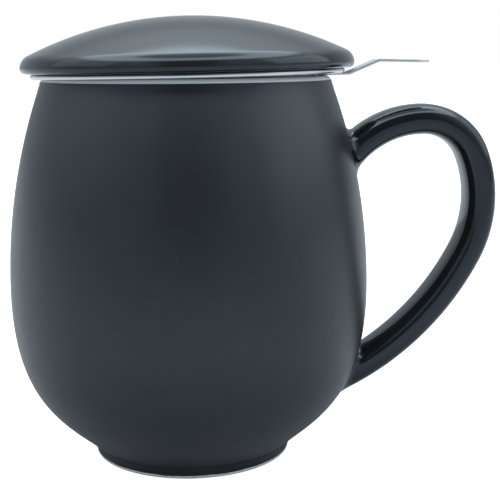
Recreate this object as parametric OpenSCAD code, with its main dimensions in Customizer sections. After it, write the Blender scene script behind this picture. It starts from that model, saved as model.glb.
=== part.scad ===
// Stoneware tea mug with a lift-out steel infuser and a loose domed lid.
// The frame stands on the foot ring: the mug's axis is Z, the handle and the infuser's tab point along +X.

/* [Body] */
// Widest diameter of the mug's body
body_d = 90; // [84:1:100]
// Height of the lip above the table
body_h = 95.4; // [88:0.2:110]
// Height at which the body is widest
belly_z = 43; // [36:1:50]
// Thickness of the stoneware wall
wall_t = 3.4; // [2.6:0.1:4.5]
// Thickness of the floor above the foot recess
floor_t = 4; // [3:0.1:7]
// Diameter of the flat middle of the floor inside
floor_d = 24; // [14:1:34]
// How far down the flank stays full, as a share of its height
flank_fullness = 0.7; // [0.55:0.01:0.8]
// How far up the straight heel carries, as a share of the flank's height
heel_fullness = 0.27; // [0.15:0.01:0.4]
// Slope of the heel from the vertical where it meets the foot
heel_angle = 46; // [38:1:54]

/* [Lip] */
// Outer diameter of the rounded lip
mouth_d = 71.6; // [66:0.2:76]
// Thickness of the lip, which is fully rounded
lip_t = 3.4; // [2.4:0.1:4]
// How far the shoulder stands proud of the lip below it
lip_step = 0.1; // [0.05:0.05:1]

/* [Foot] */
// Outer diameter of the foot ring where it stands
foot_d = 49.8; // [44:0.2:56]
// Height of the foot ring up to the crease under the heel
foot_h = 3.4; // [2.6:0.1:5]
// How far the foot ring widens between the table and the crease
foot_flare = 1.1; // [0.4:0.1:2]
// Width of the flat face that stands on the table
foot_w = 2.8; // [2:0.1:4]
// Bevel on both edges of the standing face
foot_bevel = 0.5; // [0.2:0.1:0.8]
// Depth of the recess under the foot
recess_h = 2.2; // [1.6:0.1:3]

/* [Handle] */
// Thickness of the handle's strap, from the hand to the outside
handle_t = 7.6; // [6:0.1:10]
// Width of the strap, across the mug
handle_w = 13; // [10:0.5:18]
// Squareness of the strap's section: 2 is an oval, more has flatter sides
handle_square = 2.6; // [2:0.1:4]
// How far the crown of the handle's middle line stands out from the body's widest radius
crown_out = 14.1; // [11:0.1:18]
// How far the crown of the handle's middle line lies below the lip
crown_drop = 11.1; // [9:0.1:14]
// Radius of the bend from the crown back to the body
root_bend_r = 24; // [20:1:30]
// Radius of the tight bend over the knuckles
knuckle_r = 13.8; // [11:0.2:17]
// Radius of the bend behind the fingers
palm_r = 31; // [28:1:36]
// Radius of the long sweep down to the heel
sweep_r = 71.5; // [60:0.5:85]
// How much the strap swells where it is luted to the body
root_swell = 1.3; // [0.3:0.1:2]

/* [Infuser] */
// Diameter of the infuser's flange over its rolled edge
flange_d = 77.1; // [72:0.1:82]
// Thickness of the flange and neck sheet
sheet_t = 0.5; // [0.4:0.05:0.8]
// Diameter of the rolled edge
bead_d = 1.3; // [1.1:0.1:2]
// Inside bend radius between the flange and the neck
neck_bend_r = 0.8; // [0.6:0.1:1.2]
// Clearance between the neck and the inside of the lip
neck_gap = 1.1; // [0.9:0.1:2]
// How far the infuser stands off centre toward the handle, within that clearance
infuser_shift = 0.5; // [0:0.1:0.6]
// Height of the solid neck below the flange
neck_h = 7; // [5:0.5:12]
// Depth of the basket below the flange
basket_h = 70; // [50:1:76]
// Thickness of the perforated wall
mesh_t = 0.4; // [0.3:0.05:0.6]
// Overlap of the perforated wall inside the neck
wall_lap = 3; // [2:0.5:4]
// Diameter of the holes in the wall and the base
hole_d = 2.4; // [1.4:0.1:3]
// Number of holes round the wall, in opposite pairs
hole_columns = 18; // [10:2:28]
// Number of rows of holes in the wall
hole_rows = 6; // [3:1:8]
// Plain height left above and below the rows of holes
hole_margin = 6; // [4:0.5:12]
// Rings of holes round the middle one in the base
base_rings = 4; // [2:1:4]
// Height of the base cap's rim round the wall
cap_rim_h = 3; // [2:0.5:5]
// Thickness of the base cap
cap_t = 0.5; // [0.4:0.05:0.8]

/* [Tab] */
// Thickness of the lifting tab's strip
tab_t = 0.6; // [0.5:0.05:0.9]
// Width of the tab
tab_w = 8; // [6:0.5:16]
// How far the tab reaches beyond the flange
tab_reach = 21.5; // [16:0.5:28]
// Length of the level strip between the flange's edge and the lower bend
tab_root = 1; // [0.8:0.1:4]
// Height that the tab rises through its two bends
tab_rise = 3; // [2:0.1:5]
// Length over which it rises
tab_ramp = 7.4; // [6:0.1:10]
// Angle at which the strip droops beyond its upper bend
tab_droop = 2.2; // [0:0.1:6]
// Bend radius at the middle of the strip
tab_bend_r = 2; // [1.5:0.1:3]
// Diameter of the two weld spots under the flange
weld_d = 2.4; // [1.5:0.1:3]
// Distance of the strip's inner end from the flange's bend
tab_inset = 0.4; // [0.2:0.1:1]

/* [Lid] */
// Diameter of the lid
lid_d = 81.8; // [78:0.2:88]
// Height of the dome above the lid's resting face
lid_h = 13.2; // [11:0.1:18]
// Rounding of the lid's edge above its widest line
lid_edge_r = 3.4; // [2.6:0.1:4]
// Rounding of the lid's edge below its widest line
lid_corner_r = 1.2; // [0.8:0.1:1.8]
// Thickness of the dome over the middle
lid_t = 4; // [3:0.1:5]
// Width of the flat face that rests on the flange
lid_rest_w = 3.4; // [2.5:0.1:4.5]
// How far the underside rises between the resting face and the locating ring
lid_relief = 2.2; // [1:0.1:3]
// Clearance between the locating ring and the inside of the neck
ring_gap = 2; // [0.8:0.1:2.4]
// Thickness of the locating ring
ring_t = 3.4; // [2.5:0.1:4.5]
// How far the locating ring reaches below the resting face
ring_h = 1.8; // [1.6:0.1:3.2]

/* [Hidden] */

$fn = 96;
// Air left between two pieces that only rest on each other
rest_gap = 0.02;
// Steps along a short curve and along a long one
short_steps = 6;
long_steps = 9;
// A length that is longer than any piece, and how far a cut runs past what it cuts
far = 400;
over = 1;

// The body's radii and heights, from the axis and the table
body_r = body_d / 2;
mouth_r = mouth_d / 2;
lip_r = lip_t / 2;
lip_z = body_h - lip_r;
crest_r = mouth_r - lip_r;
throat_r = mouth_r - lip_t;
crease_r = foot_d / 2 + foot_flare;
floor_z = recess_h + floor_t;

// The infuser's radii, and heights from the underside of its flange
bead_r = bead_d / 2;
bead_ring_r = flange_d / 2 - bead_r;
bead_low = bead_r - sheet_t / 2;
bead_top = bead_r + sheet_t / 2;
neck_ro = throat_r - neck_gap;
neck_ri = neck_ro - sheet_t;
wall_ri = neck_ri - mesh_t;
wall_top = wall_lap - neck_h;
base_z = -basket_h;

// The tab's strip lies on the lip under one side of the flange, so the infuser and the lid lean by this angle
lean = asin((bead_low + tab_t) / (2 * crest_r));

// The lid's dome runs tangent into its rounded edge; heights are from its resting face
lid_r = lid_d / 2;
edge_ring_r = lid_r - lid_edge_r;
dome_r = (pow(edge_ring_r, 2) + pow(lid_h - lid_corner_r, 2) - pow(lid_edge_r, 2))
    / (2 * (lid_h - lid_corner_r - lid_edge_r));
dome_z = lid_h - dome_r;
edge_angle = asin(edge_ring_r / (dome_r - lid_edge_r));
ring_ro = neck_ri - ring_gap;
ring_ri = ring_ro - ring_t;
rest_ri = lid_r - lid_corner_r - lid_rest_w;

// Rounding of the locating ring's lower edges, as a share of its thickness
ring_round_share = 0.45;

// The handle's middle line runs over its crown, which lies here
crown = [body_r + crown_out, body_h - crown_drop];
// How far it turns in each bend, and along what share of an end bend it swells
root_turn = 72;
knuckle_turn = 68;
palm_turn = 49;
sweep_turn = 43.5;
root_swell_share = 0.5;
sweep_swell_share = 0.4;
// Points round the strap's section, and the turn from one section to the next
strap_sides = 24;
strap_step = 7;

// Points on an arc about c, from angle a0 to a1
function arc(c, r, a0, a1, n) =
    [for (i = [0:n]) let (a = a0 + (a1 - a0) * i / n) [c[0] + r * cos(a), c[1] + r * sin(a)]];

// Points on a cubic curve from p0 to p3
function cubic(p0, p1, p2, p3, n) =
    [for (i = [0:n]) let (t = i / n, s = 1 - t)
        s * s * s * p0 + 3 * s * s * t * p1 + 3 * s * t * t * p2 + t * t * t * p3];

// A shoulder arc that leaves the belly upright, from the lip down to the belly
function shoulder(belly_r, top_r) =
    let (h = lip_z - belly_z, d = belly_r - top_r, r = (h * h + d * d) / (2 * d))
    arc([belly_r - r, belly_z], r, asin(h / r), 0, long_steps);

// The outside of the body from the lip to the crease above the foot
function outside_line() =
    let (fall = belly_z - foot_h, belly = [body_r, belly_z], crease = [crease_r, foot_h])
    concat(
        shoulder(body_r, mouth_r + lip_step),
        cubic(
            belly,
            belly - [0, flank_fullness * fall],
            crease + heel_fullness * fall * [sin(heel_angle), cos(heel_angle)],
            crease,
            long_steps
        )
    );

// The inside of the body from the lip to the flat of the floor
function inside_line() =
    let (fall = belly_z - floor_z, belly = [body_r - wall_t, belly_z], flat = [floor_d / 2, floor_z])
    concat(
        shoulder(body_r - wall_t, throat_r),
        cubic(
            belly,
            belly - [0, flank_fullness * fall],
            flat + [heel_fullness * fall * tan(heel_angle), 0],
            flat,
            long_steps
        )
    );

// The foot ring's section, from the crease down and round to the recess
function foot_line() = [
    [foot_d / 2, foot_bevel],
    [foot_d / 2 - foot_bevel, 0],
    [foot_d / 2 - foot_bevel - foot_w, 0],
    [foot_d / 2 - 2 * foot_bevel - foot_w, foot_bevel],
    [foot_d / 2 - 2 * foot_bevel - foot_w, recess_h],
    [0, recess_h]
];

function reversed(list) = [for (i = [len(list) - 1:-1:0]) list[i]];

// The strap's bends, one after another, all turning the same way: [centre, radius, start, end]
function bend(p, r, start, turn) = [p - r * [cos(start), sin(start)], r, start, start - turn];
function bend_end(b) = b[0] + b[1] * [cos(b[3]), sin(b[3])];

// Where the strap's sections stand on a bend: [centre, direction to the outside, swell]
function stations(b, first, swell_from, swell_to) =
    let (n = ceil((b[2] - b[3]) / strap_step))
    [for (i = [first:n]) let (
        a = b[2] + (b[3] - b[2]) * i / n,
        u = [cos(a), sin(a)]
    ) [b[0] + b[1] * u, u, swell_from == swell_to ? 0 :
        root_swell * pow(max(0, (i / n - swell_from) / (swell_to - swell_from)), 2)]];

// One section of the strap, as points in space
function strap_section(station) =
    let (c = station[0], u = station[1], swell = station[2], e = 2 / handle_square)
    [for (i = [0:strap_sides - 1]) let (
        a = 360 * (i + 0.5) / strap_sides,
        x = (handle_t / 2 + swell) * sign(cos(a)) * pow(abs(cos(a)), e),
        y = (handle_w / 2 + swell) * sign(sin(a)) * pow(abs(sin(a)), e)
    ) [c[0] + x * u[0], y, c[1] + x * u[1]]];

// Puts a piece of the infuser or the lid in its place on the mug
module seated() {
    translate([-crest_r, 0, body_h + rest_gap])
        rotate([0, -lean, 0])
            translate([crest_r + infuser_shift, 0, 0])
                children();
}

module body_solid() {
    rotate_extrude()
        polygon(concat([[0, body_h], [mouth_r, body_h]], outside_line(), [[0, foot_h]]));
}

module mug_body() {
    color([0.13, 0.14, 0.16])
        rotate_extrude()
            polygon(concat(
                arc([crest_r, lip_z], lip_r, 180, 0, 2 * short_steps),
                outside_line(),
                foot_line(),
                [[0, floor_z]],
                reversed(inside_line())
            ));
}

module handle() {
    root = bend(crown, root_bend_r, 90, -root_turn);
    knuckle = bend(crown, knuckle_r, 90, knuckle_turn);
    palm = bend(bend_end(knuckle), palm_r, knuckle[3], palm_turn);
    sweep = bend(bend_end(palm), sweep_r, palm[3], sweep_turn);
    back = [root[0], root[1], root[3], root[2]];
    rings = concat(
        stations(back, 0, root_swell_share, 0),
        stations(knuckle, 1, 0, 0),
        stations(palm, 1, 0, 0),
        stations(sweep, 1, 1 - sweep_swell_share, 1)
    );
    n = strap_sides;
    last = len(rings) - 1;
    color([0.12, 0.13, 0.15])
        difference() {
            polyhedron(
                points = [for (r = rings) each strap_section(r)],
                faces = concat(
                    [[for (i = [0:n - 1]) i]],
                    [for (k = [0:last - 1], i = [0:n - 1]) let (j = (i + 1) % n)
                        each [[k * n + i, k * n + n + i, k * n + j], [k * n + j, k * n + n + i, k * n + n + j]]],
                    [[for (i = [n - 1:-1:0]) last * n + i]]
                )
            );
            body_solid();
        }
}

module infuser_rim() {
    color([0.78, 0.79, 0.8])
        seated()
            rotate_extrude() {
                translate([neck_ro + neck_bend_r, 0])
                    square([bead_ring_r - neck_ro - neck_bend_r, sheet_t]);
                translate([bead_ring_r, sheet_t / 2])
                    circle(bead_r, $fn = 32);
                translate([neck_ri, -neck_h])
                    square([sheet_t, neck_h - neck_bend_r]);
                intersection() {
                    translate([neck_ro + neck_bend_r, -neck_bend_r])
                        difference() {
                            circle(neck_bend_r + sheet_t, $fn = 32);
                            circle(neck_bend_r, $fn = 32);
                        }
                    translate([neck_ri, -neck_bend_r])
                        square([neck_bend_r + sheet_t, neck_bend_r + sheet_t]);
                }
            }
}

module infuser_wall() {
    wall_low = base_z + cap_t;
    first_row = wall_low + cap_rim_h + hole_margin;
    row_step = (-neck_h - hole_margin - first_row) / (hole_rows - 1);
    column_step = 360 / hole_columns;
    color([0.7, 0.71, 0.72])
        seated()
            difference() {
                translate([0, 0, wall_low])
                    difference() {
                        cylinder(h = wall_top - wall_low, r = neck_ri);
                        translate([0, 0, -over])
                            cylinder(h = wall_top - wall_low + 2 * over, r = wall_ri);
                    }
                // Each drill goes through both sides of the wall
                for (row = [0:hole_rows - 1], column = [0:hole_columns / 2 - 1])
                    translate([0, 0, first_row + row * row_step])
                        rotate([0, 90, (column + (row % 2) / 2) * column_step])
                            cylinder(h = 2 * neck_ro, r = hole_d / 2, center = true, $fn = 6);
            }
}

module infuser_base() {
    ring_step = (wall_ri - hole_d) / (base_rings + 0.5);
    color([0.74, 0.75, 0.76])
        seated()
            difference() {
                translate([0, 0, base_z])
                    cylinder(h = cap_t + cap_rim_h, r = neck_ri + cap_t);
                translate([0, 0, base_z + cap_t])
                    cylinder(h = cap_rim_h + over, r = neck_ri);
                translate([0, 0, base_z - over])
                    cylinder(h = cap_t + 2 * over, r = hole_d / 2, $fn = 24);
                for (ring = [1:base_rings], i = [0:6 * ring - 1])
                    rotate([0, 0, i * 60 / ring])
                        translate([ring * ring_step, 0, base_z - over])
                            cylinder(h = cap_t + 2 * over, r = hole_d / 2, $fn = 24);
            }
}

module infuser_tab() {
    strip_top = -bead_low;
    inner_x = neck_ro + neck_bend_r + tab_inset;
    end_x = flange_d / 2 + tab_reach;
    bend_x = flange_d / 2 + tab_root;
    slope = atan(tab_rise / tab_ramp);
    // The corners of the middle line, and the centres of the bends that round them
    low = [bend_x, strip_top - tab_t / 2];
    high = low + [tab_ramp, tab_rise];
    out = [cos(tab_droop), -sin(tab_droop)];
    low_c = low + [-tab_bend_r * tan(slope / 2), tab_bend_r];
    high_c = high + tab_bend_r * (tan((slope + tab_droop) / 2) * out - [sin(tab_droop), cos(tab_droop)]);
    rise = slope - 90;
    fall = 90 + slope;
    level = 90 - tab_droop;
    end_z = high[1] - (end_x - high[0]) * tan(tab_droop);
    end_half = tab_t / 2 / cos(tab_droop);
    r_in = tab_bend_r - tab_t / 2;
    r_out = tab_bend_r + tab_t / 2;
    color([0.8, 0.81, 0.82])
        seated() {
            intersection() {
                rotate([90, 0, 0])
                    linear_extrude(tab_w, center = true)
                        polygon(concat(
                            [[inner_x, low[1] + tab_t / 2]],
                            arc(low_c, r_in, -90, rise, short_steps),
                            arc(high_c, r_out, fall, level, short_steps),
                            [[end_x, end_z + end_half], [end_x, end_z - end_half]],
                            arc(high_c, r_in, level, fall, short_steps),
                            arc(low_c, r_out, rise, -90, short_steps),
                            [[inner_x, low[1] - tab_t / 2]]
                        ));
                union() {
                    translate([inner_x, -tab_w / 2, -far / 2])
                        cube([end_x - tab_w / 2 - inner_x, tab_w, far]);
                    translate([end_x - tab_w / 2, 0, -far / 2])
                        cylinder(h = far, r = tab_w / 2);
                }
            }
            for (side = [-1, 1])
                translate([(inner_x + bead_ring_r - bead_r) / 2, side * tab_w / 4, strip_top])
                    cylinder(h = bead_low, r = weld_d / 2, $fn = 24);
        }
}

module lid() {
    inner_dome_r = dome_r - lid_t;
    ring_top = dome_z + sqrt(pow(inner_dome_r, 2) - pow(ring_ri, 2));
    ring_round = ring_round_share * ring_t;
    color([0.14, 0.15, 0.17])
        seated()
            translate([0, 0, bead_top + rest_gap])
                rotate_extrude()
                    polygon(concat(
                        arc([0, dome_z], dome_r, 90, 90 - edge_angle, long_steps),
                        arc([edge_ring_r, lid_corner_r], lid_edge_r, 90 - edge_angle, 0, short_steps),
                        arc([lid_r - lid_corner_r, lid_corner_r], lid_corner_r, 0, -90, short_steps),
                        [[rest_ri, 0], [ring_ro, lid_relief]],
                        arc([ring_ro - ring_round, ring_round - ring_h], ring_round, 0, -90, short_steps),
                        arc([ring_ri + ring_round, ring_round - ring_h], ring_round, -90, -180, short_steps),
                        [[ring_ri, ring_top]],
                        arc([0, dome_z], inner_dome_r, 90 - asin(ring_ri / inner_dome_r), 90, long_steps)
                    ));
}

mug_body();
handle();
infuser_rim();
infuser_wall();
infuser_base();
infuser_tab();
lid();
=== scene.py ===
"""A stoneware tea mug with a steel infuser and a loose domed lid, dressed for the studio.

Lengths are in metres. The mug's axis is Z, and the handle and the infuser's tab point along +X.
"""

import math

import bpy
from mathutils import Matrix, Vector


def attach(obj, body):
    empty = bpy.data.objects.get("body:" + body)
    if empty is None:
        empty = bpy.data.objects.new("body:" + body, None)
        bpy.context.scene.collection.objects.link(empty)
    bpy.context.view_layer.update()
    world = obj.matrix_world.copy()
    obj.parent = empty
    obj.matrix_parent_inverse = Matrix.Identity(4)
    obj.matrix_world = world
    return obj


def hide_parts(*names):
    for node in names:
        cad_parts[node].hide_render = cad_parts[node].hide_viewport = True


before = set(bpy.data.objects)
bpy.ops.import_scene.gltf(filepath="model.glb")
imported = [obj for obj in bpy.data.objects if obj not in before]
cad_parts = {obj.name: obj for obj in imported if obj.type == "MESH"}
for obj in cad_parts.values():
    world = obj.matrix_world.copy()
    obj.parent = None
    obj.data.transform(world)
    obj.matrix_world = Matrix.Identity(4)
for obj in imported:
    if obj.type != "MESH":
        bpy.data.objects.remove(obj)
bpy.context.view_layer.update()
MM = 0.001

# ---- Mug body ------------------------------------------------------------------------------
# The slip-cast stoneware shell: a round belly on a turned foot ring, with a fully rounded lip.
# It is dipped in black satin glaze; the lip is wiped to a pale line and the foot is left bare.

BELLY_R = 45.0 * MM
BELLY_Z = 43.0 * MM
WALL = 3.4 * MM
LIP_TOP = 95.4 * MM
LIP_R = 1.7 * MM
MOUTH_R = 35.8 * MM
# The glaze ends this many degrees up the lip's round, and is full this many degrees below its end
GLAZE_LINE = 26
GLAZE_ROLL = 4
GLAZE_PROUD = 0.1 * MM
FOOT_R = 24.9 * MM
FOOT_H = 3.4 * MM
FOOT_FLARE = 1.1 * MM
FOOT_FACE = 2.8 * MM
FOOT_ROUND = 0.5 * MM
CREASE_DROP = 0.5 * MM
FOOT_UPRIGHT = 1.6 * MM
RECESS = 2.2 * MM
RECESS_ROUND = 0.8 * MM
FLOOR_Z = 6.2 * MM
FLOOR_R = 12.0 * MM
FLANK_FULLNESS = 0.7
HEEL_FULLNESS = 0.27
HEEL_ANGLE = math.radians(46)
TURN_STEPS = 144
SAME_POINT = 0.002 * MM
SMOOTH_ANGLE = math.radians(40)

lip_z = LIP_TOP - LIP_R
crest_r = MOUTH_R - LIP_R
throat_r = MOUTH_R - 2 * LIP_R


def arc(centre, radius, start, end, steps):
    """Points on an arc, from angle start to angle end in degrees."""
    angles = [math.radians(start + (end - start) * i / steps) for i in range(steps + 1)]
    return [(centre[0] + radius * math.cos(a), centre[1] + radius * math.sin(a)) for a in angles]


def cubic(p0, p1, p2, p3, steps):
    """Points on a cubic curve from p0 to p3."""
    points = []
    for i in range(steps + 1):
        t = i / steps
        weights = ((1 - t) ** 3, 3 * (1 - t) ** 2 * t, 3 * (1 - t) * t * t, t**3)
        points.append(tuple(sum(w * p[k] for w, p in zip(weights, (p0, p1, p2, p3))) for k in (0, 1)))
    return points


def shoulder(belly_r, top_r, top_z, steps):
    """The arc from the top of the shoulder down to the belly, which it meets upright."""
    rise, inset = top_z - BELLY_Z, belly_r - top_r
    radius = (rise * rise + inset * inset) / (2 * inset)
    return arc((belly_r - radius, BELLY_Z), radius, math.degrees(math.asin(rise / radius)), 0, steps)


def flank(belly_r, foot_point, carry, steps):
    """The curve from the belly down to a point near the foot; carry is the pull at that end."""
    fall = BELLY_Z - foot_point[1]
    full = (belly_r, BELLY_Z - FLANK_FULLNESS * fall)
    pull = (foot_point[0] + carry[0] * fall, foot_point[1] + carry[1] * fall)
    return cubic((belly_r, BELLY_Z), full, pull, foot_point, steps)


def joined(*stretches):
    """Stretches of points as one line, without the points that repeat where they meet."""
    line = []
    for point in (p for stretch in stretches for p in stretch):
        if not line or math.dist(point, line[-1]) > SAME_POINT / 2:
            line.append(point)
    return line


def turned(name, outline):
    """Draws an outline of (radius, height) points as a chain of edges and spins it round the axis."""
    bpy.ops.object.select_all(action="DESELECT")
    bpy.ops.mesh.primitive_plane_add(size=MM, location=(outline[0][0], 0, outline[0][1]))
    piece = bpy.context.object
    piece.name = piece.data.name = name
    bpy.ops.object.transform_apply(location=True)
    bpy.ops.object.mode_set(mode="EDIT")
    bpy.ops.mesh.merge(type="CENTER")
    for (r0, z0), (r1, z1) in zip(outline, outline[1:]):
        bpy.ops.mesh.extrude_vertices_move(TRANSFORM_OT_translate={"value": (r1 - r0, 0, z1 - z0)})
    bpy.ops.mesh.select_all(action="SELECT")
    bpy.ops.mesh.spin(steps=TURN_STEPS, angle=2 * math.pi, center=(0, 0, 0), axis=(0, 0, 1))
    bpy.ops.mesh.select_all(action="SELECT")
    bpy.ops.mesh.remove_doubles(threshold=SAME_POINT)
    bpy.ops.mesh.normals_make_consistent(inside=False)
    bpy.ops.object.mode_set(mode="OBJECT")
    bpy.ops.object.shade_smooth_by_angle(angle=SMOOTH_ANGLE)
    return piece


def add_node(tree, kind, inputs=None, **options):
    """Adds a shader node, sets its options, and gives each named input a value or a link."""
    made = tree.nodes.new(kind)
    for option, value in options.items():
        setattr(made, option, value)
    for name, value in (inputs or {}).items():
        if isinstance(value, bpy.types.NodeSocket):
            tree.links.new(value, made.inputs[name])
        else:
            made.inputs[name].default_value = value
    return made


def feed(tree, node, sockets):
    """Links each named input of a node to its socket."""
    for name, socket in sockets.items():
        tree.links.new(socket, node.inputs[name])


def arithmetic(tree, operation, *values):
    """The output of a math node that works on values or links."""
    return add_node(tree, "ShaderNodeMath", dict(enumerate(values)), operation=operation).outputs[0]


def mixed(tree, factor, first, second):
    """The output of a node that mixes two colours."""
    inputs = {0: factor, 6: first, 7: second}
    return add_node(tree, "ShaderNodeMix", inputs, data_type="RGBA").outputs[2]


def between(tree, factor, first, second):
    """The output of a node that goes from one plain value to another."""
    inputs = {0: factor, 2: first, 3: second}
    return add_node(tree, "ShaderNodeMix", inputs, data_type="FLOAT").outputs[0]


def smooth_step(tree, value, low, high):
    """The output of a node that rises smoothly from 0 at low to 1 at high."""
    inputs = {"Value": value, "From Min": low, "From Max": high}
    return add_node(tree, "ShaderNodeMapRange", inputs, interpolation_type="SMOOTHSTEP").outputs["Result"]


def new_group(name, sockets_in, sockets_out):
    """A shader node group with named inputs and outputs: (tree, input node, output node)."""
    tree = bpy.data.node_groups.new(name, "ShaderNodeTree")
    for direction, sockets in (("INPUT", sockets_in), ("OUTPUT", sockets_out)):
        for label, kind in sockets:
            tree.interface.new_socket(name=label, in_out=direction, socket_type="NodeSocket" + kind)
    return tree, tree.nodes.new("NodeGroupInput"), tree.nodes.new("NodeGroupOutput")


def new_material(name, slot_color):
    """A node material: (material, its node tree, its Principled shader)."""
    material = bpy.data.materials.new(name)
    material.use_nodes = True
    material.diffuse_color = (*slot_color, 1)
    return material, material.node_tree, material.node_tree.nodes["Principled BSDF"]


def fired_skin(tree, coords, glaze, thin_glaze, roughness, peel):
    """Places the fired glaze in a material; peel is how strongly it orange-peels."""
    inputs = {
        "Vector": coords,
        "Glaze": glaze,
        "Thin Glaze": thin_glaze,
        "Speck": IRON_SPECK,
        "Roughness": roughness,
        "Peel": peel,
    }
    return add_node(tree, "ShaderNodeGroup", inputs, node_tree=glaze_group)


# Fired glaze, for the mug, its handle and the lid: a slow drift of tone, iron specks, patches that
# are a little more matt, and a faint orange peel
MATT_SWING = 0.12
PEEL_HEIGHT = 0.03 * MM

glaze_group, glaze_in, glaze_out = new_group(
    "fired_glaze",
    [
        ("Vector", "Vector"),
        ("Glaze", "Color"),
        ("Thin Glaze", "Color"),
        ("Speck", "Color"),
        ("Roughness", "Float"),
        ("Peel", "Float"),
    ],
    [("Color", "Color"), ("Roughness", "Float"), ("Normal", "Vector")],
)
drift = add_node(
    glaze_group,
    "ShaderNodeTexNoise",
    {"Vector": glaze_in.outputs["Vector"], "Scale": 38.0, "Detail": 3.0, "Roughness": 0.5},
)
drift_mask = smooth_step(glaze_group, drift.outputs["Fac"], 0.35, 0.75)
toned = mixed(glaze_group, drift_mask, glaze_in.outputs["Glaze"], glaze_in.outputs["Thin Glaze"])
speck_cells = add_node(
    glaze_group,
    "ShaderNodeTexVoronoi",
    {"Vector": glaze_in.outputs["Vector"], "Scale": 420.0, "Randomness": 1.0},
)
speck_core = smooth_step(glaze_group, speck_cells.outputs["Distance"], 0.16, 0.07)
speck_pick = add_node(glaze_group, "ShaderNodeSeparateColor", {"Color": speck_cells.outputs["Color"]})
speck_chosen = smooth_step(glaze_group, speck_pick.outputs["Red"], 0.72, 0.9)
speck_mask = arithmetic(glaze_group, "MULTIPLY", speck_core, speck_chosen)
specked = mixed(glaze_group, speck_mask, toned, glaze_in.outputs["Speck"])
matt_patches = add_node(
    glaze_group,
    "ShaderNodeTexNoise",
    {"Vector": glaze_in.outputs["Vector"], "Scale": 160.0, "Detail": 5.0, "Roughness": 0.6},
)
roughness_swing = arithmetic(
    glaze_group, "MULTIPLY_ADD", matt_patches.outputs["Fac"], MATT_SWING, -MATT_SWING / 2
)
glaze_roughness = arithmetic(glaze_group, "ADD", glaze_in.outputs["Roughness"], roughness_swing)
peel = add_node(
    glaze_group,
    "ShaderNodeTexNoise",
    {"Vector": glaze_in.outputs["Vector"], "Scale": 700.0, "Detail": 2.0, "Roughness": 0.5},
)
peel_bump = add_node(
    glaze_group,
    "ShaderNodeBump",
    {"Strength": glaze_in.outputs["Peel"], "Distance": PEEL_HEIGHT, "Height": peel.outputs["Fac"]},
)
feed(
    glaze_group,
    glaze_out,
    {"Color": specked, "Roughness": glaze_roughness, "Normal": peel_bump.outputs["Normal"]},
)

BLACK_GLAZE = (0.0095, 0.0093, 0.0100, 1)
THIN_GLAZE = (0.0135, 0.0133, 0.0140, 1)
IRON_SPECK = (0.030, 0.024, 0.020, 1)
PALE_LIP = (0.82, 0.85, 0.87, 1)
BARE_STONEWARE = (0.55, 0.54, 0.52, 1)
SAND_GRAIN = (0.30, 0.28, 0.26, 1)
BODY_ROUGHNESS = 0.36
BODY_PEEL = 0.35
# Blue tint on the glaze's reflections: partly the glaze's own cast, partly painted cool light
GLAZE_AND_COOL_LIGHT_TINT = (0.78, 0.91, 1.0, 1)
BARE_ROUGHNESS = 0.85
SAND_HEIGHT = 0.05 * MM
FOOT_GLAZE_EDGE = (0.62 * MM, 0.50 * MM)
EDGE_WANDER = 0.5 * MM
LIP_FADE = (-0.04 * MM, 0.02 * MM)

mug_glaze, tree, shader = new_material("satin_black_glaze", BLACK_GLAZE[:3])
coords = add_node(tree, "ShaderNodeTexCoord").outputs["Object"]
height = add_node(tree, "ShaderNodeSeparateXYZ", {"Vector": coords}).outputs["Z"]
skin = fired_skin(tree, coords, BLACK_GLAZE, THIN_GLAZE, BODY_ROUGHNESS, BODY_PEEL)
# The glaze's edge wanders a little above the bare foot, and its line on the lip is straight
edge_wander = add_node(tree, "ShaderNodeTexNoise", {"Vector": coords, "Scale": 180.0, "Detail": 3.0})
wandering_height = arithmetic(tree, "MULTIPLY_ADD", edge_wander.outputs["Fac"], -EDGE_WANDER, height)
foot_mask = smooth_step(tree, wandering_height, *FOOT_GLAZE_EDGE)
glaze_top = lip_z + LIP_R * math.sin(math.radians(GLAZE_LINE))
lip_mask = smooth_step(tree, height, glaze_top + LIP_FADE[0], glaze_top + LIP_FADE[1])
grain = add_node(tree, "ShaderNodeTexNoise", {"Vector": coords, "Scale": 2600.0, "Detail": 4.0})
grain_mask = smooth_step(tree, grain.outputs["Fac"], 0.52, 0.68)
bare_color = mixed(tree, grain_mask, BARE_STONEWARE, SAND_GRAIN)
with_lip = mixed(tree, lip_mask, skin.outputs["Color"], PALE_LIP)
body_color = mixed(tree, foot_mask, with_lip, bare_color)
body_roughness = between(tree, foot_mask, skin.outputs["Roughness"], BARE_ROUGHNESS)
sand_grit = arithmetic(tree, "MULTIPLY", grain.outputs["Fac"], foot_mask)
sand_bump = add_node(
    tree,
    "ShaderNodeBump",
    {"Strength": 0.6, "Distance": SAND_HEIGHT, "Height": sand_grit, "Normal": skin.outputs["Normal"]},
)
feed(
    tree,
    shader,
    {"Base Color": body_color, "Roughness": body_roughness, "Normal": sand_bump.outputs["Normal"]},
)
shader.inputs["Specular Tint"].default_value = GLAZE_AND_COOL_LIGHT_TINT

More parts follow.
